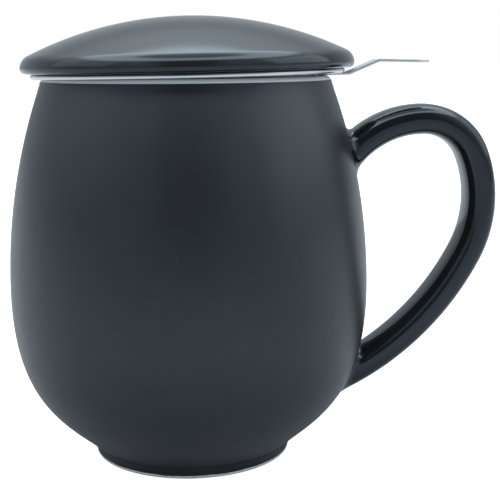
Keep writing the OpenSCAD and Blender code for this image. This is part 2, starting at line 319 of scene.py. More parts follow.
shoulder_r = MOUTH_R + GLAZE_PROUD
crease = (FOOT_R + FOOT_FLARE, FOOT_H)
heel_carry = (HEEL_FULLNESS * math.sin(HEEL_ANGLE), HEEL_FULLNESS * math.cos(HEEL_ANGLE))
floor_carry = (HEEL_FULLNESS * math.tan(HEEL_ANGLE), 0)
inner_foot_r = FOOT_R - FOOT_FACE - 2 * FOOT_ROUND
recess_corner = (inner_foot_r - RECESS_ROUND, RECESS - RECESS_ROUND)
outside_line = joined(
    shoulder(BELLY_R, shoulder_r, lip_z, 44),
    flank(BELLY_R, crease, heel_carry, 40),
)
mug_outline = joined(
    [(0, FLOOR_Z)],
    list(reversed(flank(BELLY_R - WALL, (FLOOR_R, FLOOR_Z), floor_carry, 32))),
    list(reversed(shoulder(BELLY_R - WALL, throat_r, lip_z, 32))),
    arc((crest_r, lip_z), LIP_R, 180, GLAZE_LINE, 20),
    arc((crest_r, lip_z), LIP_R + GLAZE_PROUD, GLAZE_LINE - GLAZE_ROLL, 0, 4),
    outside_line,
    cubic(crease, (crease[0], FOOT_H - CREASE_DROP), (FOOT_R, FOOT_UPRIGHT), (FOOT_R, FOOT_ROUND), 8),
    arc((FOOT_R - FOOT_ROUND, FOOT_ROUND), FOOT_ROUND, 0, -90, 5),
    arc((inner_foot_r + FOOT_ROUND, FOOT_ROUND), FOOT_ROUND, -90, -180, 5),
    [(inner_foot_r, recess_corner[1])],
    arc(recess_corner, RECESS_ROUND, 0, 90, 5),
    [(0, RECESS)],
)
mug_body = turned("mug_shell", mug_outline)
mug_body.data.materials.append(mug_glaze)
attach(mug_body, "mug")
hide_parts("mug_body")

# ---- Handle --------------------------------------------------------------------------------
# A solid strap, cast in its own mould, bent over the knuckles and swept down to the heel.
# It is luted to the leather-hard body with slip, which leaves a soft fillet round each root.

STRAP_THICK = 7.6 * MM
STRAP_WIDE = 13.0 * MM
STRAP_SQUARE = 2.9
STRAP_SIDES = 48
CROWN = (59.1 * MM, 84.3 * MM)
# Each bend from the body's upper root onward: radius, and turn in degrees
STRAP_BENDS = ((24.0 * MM, 72.0), (13.8 * MM, 68.0), (31.0 * MM, 49.0), (71.5 * MM, 43.5))
RING_SPACING = 0.55 * MM
FILLET_ABOVE = 2.6 * MM
FILLET_BESIDE = 2.4 * MM
FILLET_BELOW = 1.4 * MM
ROOT_REACH = 16.0 * MM
ROOT_DEPTH = 0.3 * MM
# The handle's glaze is the body's black glaze painted darker: painted shade
HANDLE_SHADED_GLAZE = (0.0065, 0.0062, 0.0062, 1)
HANDLE_ROUGHNESS = 0.10
HANDLE_PEEL = 0.3


def body_radius(z):
    """The body's outer radius at height z, read along its outline."""
    for (r0, z0), (r1, z1) in zip(outside_line, outside_line[1:]):
        if z1 <= z <= z0:
            return r0 + (r1 - r0) * (z - z0) / (z1 - z0)
    return shoulder_r if z > lip_z else FOOT_R


def bends():
    """Each bend from the upper root onward: (centre, radius, first angle, turn), in degrees."""
    last_radius, turn = STRAP_BENDS[0]
    angle = 90 + turn
    centre = Vector((CROWN[0], CROWN[1] - last_radius))
    for radius, turn in STRAP_BENDS:
        direction = Vector((math.cos(math.radians(angle)), math.sin(math.radians(angle))))
        centre = centre + direction * (last_radius - radius)
        yield centre, radius, angle, turn
        angle -= turn
        last_radius = radius


def strap_section():
    """A ring of points round the strap's section, at the upper end of its first bend."""
    centre, radius, angle, _ = next(bends())
    middle = Vector((centre.x, 0, centre.y))
    outward = Vector((math.cos(math.radians(angle)), 0, math.sin(math.radians(angle))))
    bpy.ops.object.select_all(action="DESELECT")
    bpy.ops.mesh.primitive_circle_add(vertices=STRAP_SIDES, radius=1, fill_type="NGON")
    ring = bpy.context.object
    for v in ring.data.vertices:
        across, along = (math.copysign(abs(c) ** (2 / STRAP_SQUARE), c) for c in v.co.xy)
        place = middle + outward * (radius + across * STRAP_THICK / 2)
        v.co = place + Vector((0, along * STRAP_WIDE / 2, 0))
    return ring


def swept_strap():
    """Spins the section through the four bends, one after another."""
    ring = strap_section()
    bpy.ops.object.mode_set(mode="EDIT")
    bpy.ops.mesh.select_all(action="SELECT")
    for centre, radius, _, turn in bends():
        steps = math.ceil(math.radians(turn) * radius / RING_SPACING)
        bpy.ops.mesh.spin(
            steps=steps, angle=math.radians(turn), center=(centre.x, 0, centre.y), axis=(0, -1, 0)
        )
    bpy.ops.mesh.select_all(action="SELECT")
    bpy.ops.mesh.remove_doubles(threshold=SAME_POINT)
    bpy.ops.mesh.normals_make_consistent(inside=False)
    bpy.ops.object.mode_set(mode="OBJECT")
    return ring


def crossing(points):
    """Where a line of points goes through the body's skin, and the line's slope there."""
    for p, q in zip(points, points[1:]):
        if (p[0] - body_radius(p[1])) * (q[0] - body_radius(q[1])) <= 0:
            return p, (q[1] - p[1]) / (q[0] - p[0])
    raise ValueError("the strap misses the body")


def middle_line():
    """Points along the strap's middle line, from its upper root to its lower one."""
    line = []
    for centre, radius, angle, turn in bends():
        line += arc(centre, radius, angle, angle - turn, 60)
    return line


def lute(strap, root, slope, above, below):
    """Spreads the strap along the body's skin near one root, as a round fillet of slip does."""
    for v in strap.data.vertices:
        radius = math.hypot(v.co.x, v.co.y)
        off_skin = radius - body_radius(v.co.z)
        if abs(v.co.z - root[1]) > ROOT_REACH or off_skin > max(above, below, FILLET_BESIDE):
            continue
        sideways = math.atan2(v.co.y, v.co.x) * radius
        rise = v.co.z - (root[1] + slope * max(off_skin, 0))
        reach = math.hypot(sideways, rise) or MM
        lift = rise / reach
        fillet = FILLET_BESIDE * (1 - lift * lift) + (above if lift > 0 else below) * lift * lift
        if off_skin >= fillet:
            continue
        depth = 1 - max(off_skin, 0) / fillet
        spread = 1 + fillet * (1 - math.sqrt(1 - depth * depth)) / reach
        z = v.co.z + rise * (spread - 1)
        skin_r = body_radius(z) + off_skin
        turn = sideways * spread / skin_r
        v.co = (skin_r * math.cos(turn), skin_r * math.sin(turn), z)


def pick(piece):
    """Selects one piece alone and makes it the active one."""
    bpy.ops.object.select_all(action="DESELECT")
    bpy.context.view_layer.objects.active = piece
    piece.select_set(True)


def finish(piece, modifier):
    """Applies a modifier to its piece."""
    pick(piece)
    bpy.ops.object.modifier_apply(modifier=modifier.name)


strap = swept_strap()
strap.name = strap.data.name = "handle_strap"
strap_middle = middle_line()
upper_root, upper_slope = crossing(strap_middle)
lower_root, lower_slope = crossing(list(reversed(strap_middle)))
lute(strap, upper_root, upper_slope, FILLET_ABOVE, FILLET_BELOW)
lute(strap, lower_root, lower_slope, FILLET_BELOW, FILLET_ABOVE)

# The strap ends just inside the body's skin
core_line = [(r - ROOT_DEPTH, z) for r, z in outside_line]
core = turned("body_core", joined([(0, core_line[0][1])], core_line, [(0, core_line[-1][1])]))
cut = strap.modifiers.new("cut_to_body", "BOOLEAN")
cut.operation = "DIFFERENCE"
cut.solver = "EXACT"
cut.object = core
finish(strap, cut)
bpy.data.objects.remove(core)
bpy.ops.object.shade_smooth_by_angle(angle=SMOOTH_ANGLE)


def glazed(name, glaze, thin_glaze, roughness, peel):
    """A material of glaze all over a piece."""
    material, tree, shader = new_material(name, glaze[:3])
    coords = add_node(tree, "ShaderNodeTexCoord").outputs["Object"]
    color, dullness, normal = fired_skin(tree, coords, glaze, thin_glaze, roughness, peel).outputs
    feed(tree, shader, {"Base Color": color, "Roughness": dullness, "Normal": normal})
    shader.inputs["Specular Tint"].default_value = GLAZE_AND_COOL_LIGHT_TINT
    return material


handle_glaze = glazed("handle_glaze", HANDLE_SHADED_GLAZE, BLACK_GLAZE, HANDLE_ROUGHNESS, HANDLE_PEEL)
strap.data.materials.append(handle_glaze)
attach(strap, "mug")
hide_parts("handle")

# ---- Infuser wall --------------------------------------------------------------------------
# Stainless sheet, punched all over with fine staggered holes and rolled into a tube.
# Its top is lapped inside the neck. The infuser leans a little, because its tab lies on the lip.

SHEET = 0.5 * MM
MESH_SHEET = 0.4 * MM
BEAD_R = 0.65 * MM
FLANGE_R = 38.55 * MM
NECK_GAP = 1.1 * MM
NECK_BEND = 0.8 * MM
NECK_H = 7.0 * MM
BASKET_H = 70.0 * MM
WALL_LAP = 3.0 * MM
CAP_SHEET = 0.5 * MM
CAP_RIM = 3.0 * MM
TAB_SHEET = 0.6 * MM
REST_GAP = 0.02 * MM
INFUSER_SHIFT = 0.5 * MM
HOLE_R = 0.5 * MM
HOLE_COLUMNS = 104
PLAIN_BAND = 2.5 * MM
NEAR_ROW = 0.1 * MM
HOLE_AREA_SLACK = 1.08
HOLE_SHAPE_SLACK = 1.1
SHEET_SMOOTH_ANGLE = math.radians(35)

neck_ro = throat_r - NECK_GAP
neck_ri = neck_ro - SHEET
bead_low = BEAD_R - SHEET / 2
lean = math.asin((bead_low + TAB_SHEET) / (2 * crest_r))
seat = (
    Matrix.Translation((-crest_r, 0, LIP_TOP + REST_GAP))
    @ Matrix.Rotation(-lean, 4, "Y")
    @ Matrix.Translation((crest_r + INFUSER_SHIFT, 0, 0))
)


def seated(piece):
    """Puts a piece that was made round the infuser's own axis in its place on the mug."""
    pick(piece)
    piece.matrix_world = seat
    bpy.ops.object.transform_apply(location=True, rotation=True, scale=True)


def punch(piece, hole_r, is_hole):
    """Opens a hexagonal hole at each vertex whose place is_hole accepts."""
    pick(piece)
    bpy.ops.object.mode_set(mode="EDIT")
    bpy.ops.mesh.select_mode(type="VERT")
    bpy.ops.mesh.select_all(action="DESELECT")
    bpy.ops.object.mode_set(mode="OBJECT")
    for v in piece.data.vertices:
        v.select = is_hole(v.co)
    bpy.ops.object.mode_set(mode="EDIT")
    bpy.ops.mesh.bevel(offset=hole_r, segments=1, affect="VERTICES")
    bpy.ops.mesh.select_mode(type="FACE")
    bpy.ops.mesh.select_all(action="DESELECT")
    bpy.ops.object.mode_set(mode="OBJECT")
    largest = HOLE_AREA_SLACK * 1.5 * math.sqrt(3) * hole_r * hole_r
    for face in piece.data.polygons:
        face.select = len(face.vertices) == 6 and face.area < largest and is_regular(piece, face)
    bpy.ops.object.mode_set(mode="EDIT")
    bpy.ops.mesh.delete(type="FACE")
    bpy.ops.mesh.select_mode(type="VERT")
    bpy.ops.object.mode_set(mode="OBJECT")


def is_regular(piece, face):
    """Whether a face's corners all lie at about the same distance from its middle."""
    reaches = [(piece.data.vertices[i].co - face.center).length for i in face.vertices]
    return max(reaches) < HOLE_SHAPE_SLACK * min(reaches)


def thickened(piece, thickness, offset):
    """Gives a sheet its thickness; offset is -1 to grow against its normals and 0 for both ways."""
    solidify = piece.modifiers.new("sheet_thickness", "SOLIDIFY")
    solidify.thickness = thickness
    solidify.offset = offset
    finish(piece, solidify)


# Drawn and rolled steel: fine lines that swing from bright to dull
DULL_STEEL = (0.86, 0.86, 0.87, 1)
LINE_HEIGHT = 0.01 * MM
LINE_SWING = 0.16

steel_group, steel_in, steel_out = new_group(
    "drawn_steel",
    [("Vector", "Vector"), ("Steel", "Color"), ("Roughness", "Float"), ("Line Depth", "Float")],
    [("Color", "Color"), ("Roughness", "Float"), ("Normal", "Vector")],
)
steel_lines = add_node(
    steel_group,
    "ShaderNodeTexNoise",
    {"Vector": steel_in.outputs["Vector"], "Scale": 1.0, "Detail": 3.0, "Roughness": 0.6},
)
steel_tone = smooth_step(steel_group, steel_lines.outputs["Fac"], 0.25, 0.75)
darker_steel = add_node(
    steel_group,
    "ShaderNodeMix",
    {0: 1.0, 6: steel_in.outputs["Steel"], 7: DULL_STEEL},
    data_type="RGBA",
    blend_type="MULTIPLY",
).outputs[2]
steel_color = mixed(steel_group, steel_tone, darker_steel, steel_in.outputs["Steel"])
steel_swing = arithmetic(
    steel_group, "MULTIPLY_ADD", steel_lines.outputs["Fac"], LINE_SWING, steel_in.outputs["Roughness"]
)
steel_bump = add_node(
    steel_group,
    "ShaderNodeBump",
    {
        "Strength": steel_in.outputs["Line Depth"],
        "Distance": LINE_HEIGHT,
        "Height": steel_lines.outputs["Fac"],
    },
)
feed(
    steel_group,
    steel_out,
    {"Color": steel_color, "Roughness": steel_swing, "Normal": steel_bump.outputs["Normal"]},
)

STEEL = (0.63, 0.64, 0.65, 1)
LINE_STRETCH = 40


def steel_material(name, roughness, line_depth, fineness, round_axis=True):
    """Steel whose fine lines run round the mug's axis, or else along the tab's strip."""
    material, tree, shader = new_material(name, STEEL[:3])
    coords = add_node(tree, "ShaderNodeTexCoord").outputs["Object"]
    if round_axis:
        parts = add_node(tree, "ShaderNodeSeparateXYZ", {"Vector": coords})
        flat = add_node(tree, "ShaderNodeCombineXYZ", {"X": parts.outputs["X"], "Y": parts.outputs["Y"]})
        radius = add_node(tree, "ShaderNodeVectorMath", {0: flat.outputs[0]}, operation="LENGTH")
        rings = {"X": radius.outputs["Value"], "Y": parts.outputs["Z"]}
        line_coords = add_node(tree, "ShaderNodeCombineXYZ", rings).outputs[0]
        scale = (fineness, fineness, fineness)
    else:
        line_coords = coords
        scale = (fineness / LINE_STRETCH, fineness, fineness)
    mapping = add_node(tree, "ShaderNodeMapping", {"Vector": line_coords, "Scale": scale})
    inputs = {
        "Vector": mapping.outputs["Vector"],
        "Steel": STEEL,
        "Roughness": roughness,
        "Line Depth": line_depth,
    }
    color, dullness, normal = add_node(tree, "ShaderNodeGroup", inputs, node_tree=steel_group).outputs
    feed(tree, shader, {"Base Color": color, "Roughness": dullness, "Normal": normal})
    shader.inputs["Metallic"].default_value = 1.0
    return material


punched_steel = steel_material("punched_steel", roughness=0.20, line_depth=0.3, fineness=900.0)

wall_top = WALL_LAP - NECK_H
wall_low = CAP_SHEET - BASKET_H
punched_low = wall_low + CAP_RIM + PLAIN_BAND
punched_top = -NECK_H - PLAIN_BAND
column_angle = 2 * math.pi / HOLE_COLUMNS
row_step = math.sqrt(3) / 2 * neck_ri * column_angle
hole_rows = int((punched_top - punched_low) / row_step)
first_row = (punched_low + punched_top - (hole_rows - 1) * row_step) / 2

bpy.ops.object.select_all(action="DESELECT")
bpy.ops.mesh.primitive_circle_add(vertices=HOLE_COLUMNS, radius=neck_ri, location=(0, 0, wall_low))
wall = bpy.context.object
wall.name = wall.data.name = "infuser_mesh_wall"
bpy.ops.object.transform_apply(location=True)
bpy.ops.object.mode_set(mode="EDIT")
bpy.ops.mesh.select_all(action="SELECT")
row_heights = [first_row + (i - 1) * row_step for i in range(hole_rows + 2)]
level = wall_low
for row_z in row_heights + [wall_top]:
    bpy.ops.mesh.extrude_region_move(TRANSFORM_OT_translate={"value": (0, 0, row_z - level)})
    if row_heights[0] < row_z < wall_top:
        bpy.ops.transform.rotate(
            value=column_angle / 2, orient_axis="Z", center_override=(0, 0, 0), orient_type="GLOBAL"
        )
    level = row_z
bpy.ops.mesh.select_all(action="SELECT")
bpy.ops.mesh.quads_convert_to_tris(quad_method="SHORTEST_DIAGONAL")
bpy.ops.mesh.normals_make_consistent(inside=False)
bpy.ops.object.mode_set(mode="OBJECT")
last_row = row_heights[-2]
punch(wall, HOLE_R, lambda co: first_row - NEAR_ROW < co.z < last_row + NEAR_ROW)
thickened(wall, MESH_SHEET, -1)
wall.data.materials.append(punched_steel)
seated(wall)
bpy.ops.object.shade_smooth_by_angle(angle=SHEET_SMOOTH_ANGLE)
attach(wall, "infuser")
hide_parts("infuser_wall")

# ---- Infuser base --------------------------------------------------------------------------
# A shallow pressed cap, punched in rings, whose rim closes round the wall's lower end.
# Its corner is drawn to a small radius.

BASE_RINGS = 16
PLAIN_RINGS = 1.5
CAP_CORNER = 1.0 * MM
SIXTH = math.radians(60)
NEAR_CORNER = 0.999
ANGLE_SLACK = 1e-4

cap_r = neck_ri + CAP_SHEET
flat_r = cap_r - CAP_CORNER
base_z = -BASKET_H
bpy.ops.object.select_all(action="DESELECT")
bpy.ops.mesh.primitive_circle_add(vertices=6, radius=flat_r, fill_type="TRIFAN", location=(0, 0, base_z))
base = bpy.context.object
base.name = base.data.name = "infuser_mesh_base"
bpy.ops.object.transform_apply(location=True)
bpy.ops.object.mode_set(mode="EDIT")
bpy.ops.mesh.select_all(action="SELECT")
bpy.ops.mesh.subdivide(number_cuts=BASE_RINGS - 1)
bpy.ops.object.mode_set(mode="OBJECT")
first_corner = min(
    math.atan2(v.co.y, v.co.x)
    for v in base.data.vertices
    if math.hypot(v.co.x, v.co.y) > NEAR_CORNER * flat_r
)
for v in base.data.vertices:
    # The hexagon's straight rows become rings: a vertex keeps its row and its share of the side
    angle = math.atan2(v.co.y, v.co.x) - first_corner
    side = math.floor(angle / SIXTH + ANGLE_SLACK)
    within = angle - side * SIXTH
    ring_r = math.hypot(v.co.x, v.co.y) * math.sin(SIXTH + within) / math.sin(SIXTH)
    share = math.sin(within) / (math.sin(within) + math.sin(SIXTH - within))
    spread = first_corner + SIXTH * (side + share)
    v.co.x, v.co.y = ring_r * math.cos(spread), ring_r * math.sin(spread)
pick(base)
bpy.ops.object.mode_set(mode="EDIT")
bpy.ops.mesh.select_all(action="SELECT")
bpy.ops.mesh.region_to_loop()
corner = arc((flat_r, base_z + CAP_CORNER), CAP_CORNER, -90, 0, 6)
rim_line = corner + [(cap_r, base_z + CAP_SHEET + CAP_RIM)]
for (r0, z0), (r1, z1) in zip(rim_line, rim_line[1:]):
    bpy.ops.mesh.extrude_region_move(TRANSFORM_OT_translate={"value": (0, 0, z1 - z0)})
    bpy.ops.transform.resize(value=(r1 / r0, r1 / r0, 1), center_override=(0, 0, z1))
bpy.ops.mesh.select_all(action="SELECT")
bpy.ops.mesh.normals_make_consistent(inside=False)
bpy.ops.object.mode_set(mode="OBJECT")
punched_r = (BASE_RINGS - PLAIN_RINGS) * flat_r / BASE_RINGS
punch(base, HOLE_R, lambda co: abs(co.z - base_z) < NEAR_ROW and math.hypot(co.x, co.y) < punched_r)
thickened(base, CAP_SHEET, -1)
base.data.materials.append(punched_steel)
seated(base)
bpy.ops.object.shade_smooth_by_angle(angle=SHEET_SMOOTH_ANGLE)
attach(base, "infuser")
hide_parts("infuser_base")

# ---- Infuser rim ---------------------------------------------------------------------------
# The neck and flange, drawn from one disc of sheet; the flange's edge is rolled to a round bead.
# The flange lies on the lip on one side and on the tab's strip on the other.

COVE_R = 0.25 * MM

bead_ring_r = FLANGE_R - BEAD_R
bend_r = neck_ro + NECK_BEND
bead_start = math.degrees(math.asin((SHEET / 2 + COVE_R) / (BEAD_R + COVE_R)))
cove_x = bead_ring_r - (BEAD_R + COVE_R) * math.cos(math.radians(bead_start))
rim_outline = joined(
    arc((neck_ri + SHEET / 2, -NECK_H), SHEET / 2, 270, 180, 3),
    arc((bend_r, -NECK_BEND), NECK_BEND + SHEET, 180, 90, 8),
    arc((cove_x, SHEET + COVE_R), COVE_R, 270, 270 + 90 - bead_start, 4),
    arc((bead_ring_r, SHEET / 2), BEAD_R, 180 - bead_start, -180 + bead_start, 22),
    arc((cove_x, -COVE_R), COVE_R, bead_start, 90, 4),
    arc((bend_r, -NECK_BEND), NECK_BEND, 90, 180, 8),
    arc((neck_ri + SHEET / 2, -NECK_H), SHEET / 2, 360, 270, 3),
)
rim = turned("infuser_flange", rim_outline)
rolled_steel = steel_material("rolled_steel", roughness=0.12, line_depth=0.25, fineness=1400.0)
rim.data.materials.append(rolled_steel)
seated(rim)
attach(rim, "infuser")
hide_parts("infuser_rim")

# ---- Infuser tab ---------------------------------------------------------------------------
# The lifting tab: a strip of thicker sheet with a round end, bent up clear of the lid's edge.
# It is spot-welded under the flange in two places.

TAB_WIDE = 8.0 * MM
TAB_REACH = 21.5 * MM
TAB_ROOT = 1.0 * MM
TAB_RISE = 3.0 * MM
TAB_RAMP = 7.4 * MM
TAB_DROOP = math.radians(2.2)
TAB_BEND = 2.0 * MM
TAB_EDGE = 0.12 * MM
TAB_INSET = 0.4 * MM
TAB_STRIPS = 6
TIP_LEAST = 0.05 * MM
SAME_EDGE = 0.03 * MM
WELD_R = 1.2 * MM
WELD_EDGE = 0.08 * MM

tab_mid_z = -bead_low - TAB_SHEET / 2
tab_in_x = neck_ro + NECK_BEND + TAB_INSET
tab_end_x = FLANGE_R + TAB_REACH
slope = math.atan2(TAB_RISE, TAB_RAMP)
low = (FLANGE_R + TAB_ROOT, tab_mid_z)
high = (low[0] + TAB_RAMP, low[1] + TAB_RISE)
low_centre = (low[0] - TAB_BEND * math.tan(slope / 2), low[1] + TAB_BEND)
low_turn = arc(low_centre, TAB_BEND, -90, math.degrees(slope) - 90, 6)
past_bend = TAB_BEND * math.tan((slope + TAB_DROOP) / 2)
high_centre = (
    high[0] + past_bend * math.cos(TAB_DROOP) - TAB_BEND * math.sin(TAB_DROOP),
    high[1] - past_bend * math.sin(TAB_DROOP) - TAB_BEND * math.cos(TAB_DROOP),
)
high_turn = arc(high_centre, TAB_BEND, 90 + math.degrees(slope), 90 - math.degrees(TAB_DROOP), 6)
tip_r = TAB_WIDE / 2
round_from = tab_end_x - tip_r
tip_xs = [round_from + tip_r * math.sin(math.radians(a)) for a in range(0, 86, 5)] + [tab_end_x]
tip = [(x, high[1] - (x - high[0]) * math.tan(TAB_DROOP)) for x in tip_xs]
tab_line = joined([(tab_in_x, tab_mid_z)], low_turn, high_turn, tip)

bpy.ops.object.select_all(action="DESELECT")
bpy.ops.mesh.primitive_plane_add(size=MM, location=(tab_in_x, 0, tab_mid_z))
tab = bpy.context.object
tab.name = tab.data.name = "infuser_tab_strip"
bpy.ops.object.transform_apply(location=True)
bpy.ops.object.mode_set(mode="EDIT")
bpy.ops.mesh.merge(type="CENTER")
bpy.ops.mesh.extrude_vertices_move(TRANSFORM_OT_translate={"value": (0, TAB_WIDE, 0)})
bpy.ops.mesh.select_all(action="SELECT")
bpy.ops.transform.translate(value=(0, -TAB_WIDE / 2, 0))
bpy.ops.mesh.subdivide(number_cuts=TAB_STRIPS - 1)
width = TAB_WIDE
for (x0, z0), (x1, z1) in zip(tab_line, tab_line[1:]):
    bpy.ops.mesh.extrude_region_move(TRANSFORM_OT_translate={"value": (x1 - x0, 0, z1 - z0)})
    past = max(0, x1 - round_from)
    new_width = 2 * math.sqrt(max(tip_r * tip_r - past * past, TIP_LEAST * TIP_LEAST))
    bpy.ops.transform.resize(value=(1, new_width / width, 1), center_override=(x1, 0, z1))
    width = new_width
bpy.ops.mesh.select_all(action="SELECT")
bpy.ops.mesh.remove_doubles(threshold=SAME_EDGE)
bpy.ops.mesh.normals_make_consistent(inside=False)
bpy.ops.object.mode_set(mode="OBJECT")
thickened(tab, TAB_SHEET, 0)
soften = tab.modifiers.new("rolled_edges", "BEVEL")
soften.width = TAB_EDGE
soften.segments = 2
soften.limit_method = "ANGLE"
soften.angle_limit = math.radians(50)
finish(tab, soften)

weld_x = (tab_in_x + bead_ring_r - BEAD_R) / 2
welds = []
for side in (-1, 1):
    bpy.ops.object.select_all(action="DESELECT")
    bpy.ops.mesh.primitive_cylinder_add(
        vertices=32, radius=WELD_R, depth=bead_low, location=(weld_x, side * TAB_WIDE / 4, -bead_low / 2)
    )
    weld = bpy.context.object
    bpy.ops.object.transform_apply(location=True)
    bpy.ops.object.mode_set(mode="EDIT")
    bpy.ops.mesh.select_all(action="SELECT")
    bpy.ops.mesh.bevel(offset=WELD_EDGE, segments=2, affect="EDGES")
    bpy.ops.object.mode_set(mode="OBJECT")
    welds.append(weld)
pick(tab)
for weld in welds:
    weld.select_set(True)
bpy.ops.object.join()
tab_steel = steel_material(
    "tab_steel", roughness=0.32, line_depth=0.35, fineness=2400.0, round_axis=False
)
tab.data.materials.append(tab_steel)
seated(tab)
bpy.ops.object.shade_smooth_by_angle(angle=SHEET_SMOOTH_ANGLE)
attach(tab, "infuser")
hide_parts("infuser_tab")

# ---- Lid -----------------------------------------------------------------------------------
# A shallow stoneware dome with a full, rounded edge, dipped in the same glaze but fired glossier.
# A ring under it drops into the infuser's neck; the lid rests on the flange and lifts straight off.

LID_R = 40.9 * MM
LID_H = 13.2 * MM
LID_EDGE = 3.4 * MM
LID_CORNER = 1.2 * MM
LID_WALL = 4.0 * MM
LID_REST = 3.4 * MM
LID_RELIEF = 2.2 * MM
RING_GAP = 2.0 * MM
RING_WALL = 3.4 * MM
RING_H = 1.8 * MM
RING_FILLET = 0.9 * MM
RING_WALL_TO_ROUND = 2.2
RELIEF_EASE = 1.2 * MM
HOLLOW_REACH = 1.2 * MM
HOLLOW_DROP = 1.6 * MM
HOLLOW_PULLS = ((0, -0.6 * MM), (-0.4 * MM, 0.1 * MM))
LID_ROUGHNESS = 0.11
LID_PEEL = 0.2

edge_ring_r = LID_R - LID_EDGE
dome_rise = LID_H - LID_CORNER
dome_r = (edge_ring_r**2 + dome_rise**2 - LID_EDGE**2) / (2 * (dome_rise - LID_EDGE))
dome_z = LID_H - dome_r
edge_angle = math.degrees(math.asin(edge_ring_r / (dome_r - LID_EDGE)))
ring_ro = neck_ri - RING_GAP
ring_ri = ring_ro - RING_WALL
ring_round = RING_WALL / RING_WALL_TO_ROUND
rest_ri = LID_R - LID_CORNER - LID_REST
under_r = dome_r - LID_WALL
ring_top = dome_z + math.sqrt(under_r**2 - ring_ri**2)
under_angle = math.degrees(math.asin((ring_ri - HOLLOW_REACH) / under_r))
relief_run = ring_ro + RING_FILLET
lid_outline = joined(
    arc((0, dome_z), dome_r, 90, 90 - edge_angle, 48),
    arc((edge_ring_r, LID_CORNER), LID_EDGE, 90 - edge_angle, 0, 14),
    arc((LID_R - LID_CORNER, LID_CORNER), LID_CORNER, 0, -90, 8),
    cubic(
        (rest_ri, 0),
        (rest_ri - RELIEF_EASE, 0),
        (relief_run + RELIEF_EASE, LID_RELIEF),
        (relief_run, LID_RELIEF),
        8,
    ),
    arc((relief_run, LID_RELIEF - RING_FILLET), RING_FILLET, 90, 180, 6),
    arc((ring_ro - ring_round, ring_round - RING_H), ring_round, 0, -90, 8),
    arc((ring_ri + ring_round, ring_round - RING_H), ring_round, -90, -180, 8),
    cubic(
        (ring_ri, ring_top - HOLLOW_DROP),
        *((ring_ri + across, ring_top + up) for across, up in HOLLOW_PULLS),
        arc((0, dome_z), under_r, 90 - under_angle, 90 - under_angle, 1)[0],
        6,
    ),
    arc((0, dome_z), under_r, 90 - under_angle, 90, 24),
)
rest_lift = BEAD_R + SHEET / 2 + REST_GAP
lid = turned("lid_dome", [(r, z + rest_lift) for r, z in lid_outline])
seated(lid)
lid.data.materials.append(glazed("gloss_black_glaze", BLACK_GLAZE, THIN_GLAZE, LID_ROUGHNESS, LID_PEEL))
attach(lid, "lid")
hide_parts("lid")

# ---- Studio --------------------------------------------------------------------------------
# A pale floor that runs back into a white surround, a large softbox at each side, and a ring of
# light overhead. The camera stands in front, a little above the lid's edge.

COOL = (0.82, 0.92, 1.0)
FLOOR_SIZE = 6.0
FLOOR_DROP = 0.01 * MM
FLOOR_ALBEDO = (0.42, 0.43, 0.44, 1)
FLOOR_WHITE = 0.90
# Painted glow on the floor that only reflections see: a painted reflection of lit floor that grows to the
# back, left out round the mug as a painted shadow
FLOOR_PAINTED_GLOW = 0.25
PAINTED_SHADOW_EDGE = (0.04, 0.12)
PAINTED_GLOW_TO_BACK = (-0.40, -0.10)

bpy.ops.object.select_all(action="DESELECT")
bpy.ops.mesh.primitive_plane_add(size=FLOOR_SIZE, location=(0, 0, -FLOOR_DROP))
floor = bpy.context.object
floor.name = "studio_floor"
floor_paper = bpy.data.materials.new("floor_paper")
floor_paper.use_nodes = True
tree = floor_paper.node_tree
tree.nodes.clear()
rays = add_node(tree, "ShaderNodeLightPath")
place = add_node(tree, "ShaderNodeTexCoord").outputs["Object"]
toward_back = add_node(tree, "ShaderNodeSeparateXYZ", {"Vector": place}).outputs["Y"]
# Painted light for reflections only: a glow rising to the back, cut away round the mug as a painted shadow
painted_glow_to_back = smooth_step(tree, toward_back, *PAINTED_GLOW_TO_BACK)
from_mug = add_node(tree, "ShaderNodeVectorMath", {0: place}, operation="LENGTH").outputs["Value"]
outside_painted_shadow = smooth_step(tree, from_mug, *PAINTED_SHADOW_EDGE)
painted_glow_mask = arithmetic(tree, "MULTIPLY", painted_glow_to_back, outside_painted_shadow)
painted_glow = arithmetic(tree, "MULTIPLY", painted_glow_mask, FLOOR_PAINTED_GLOW)
painted_glow_in_gloss = arithmetic(tree, "MULTIPLY", rays.outputs["Is Glossy Ray"], painted_glow)
white_level = arithmetic(tree, "MULTIPLY_ADD", rays.outputs["Is Camera Ray"], FLOOR_WHITE, painted_glow_in_gloss)
paper = add_node(tree, "ShaderNodeBsdfDiffuse", {"Color": FLOOR_ALBEDO}).outputs[0]
white = add_node(tree, "ShaderNodeEmission", {"Color": (1, 1, 1, 1), "Strength": white_level}).outputs[0]
surface = add_node(tree, "ShaderNodeAddShader", {0: paper, 1: white}).outputs[0]
add_node(tree, "ShaderNodeOutputMaterial", {"Surface": surface})
floor.data.materials.append(floor_paper)

# The surround: white to the camera, and to the gloss dim in front, brighter behind and overhead.
# Each level is a radiance, where 1 is white, and each glow is what is added to it.
FRONT_LEVEL = 0.12
FRONT_SIDE_GLOW = 0.35
FRONT_HIGH_GLOW = 0.35
FRONT_SKY_GLOW = 1.0
BACK_LEVEL = 0.55
BACK_SKY_GLOW = 1.10
BACK_LEFT_GLOW = 0.10
SOFT_LEVEL = 0.55
SOFT_HIGH_GLOW = 1.35
RING_FRONT = 3.0
RING_BACK = 2.3
RING_TILT = 0.03
# Where each part of it begins and is full, as a share of the way along +X, +Y or +Z
BEHIND_Y = (-0.30, 0.30)
OVERHEAD_Z = (0.0, 0.6)
BESIDE_CAMERA_X = (0.14, 0.55)
BACK_SKY_Z = (0.42, 0.80)
FAR_LEFT_X = (-0.45, -0.95)
FRONT_SKY_Z = (0.66, 0.82)
RING_OUTSIDE_Z = (0.70, 0.80)
RING_INSIDE_Z = (0.98, 0.92)

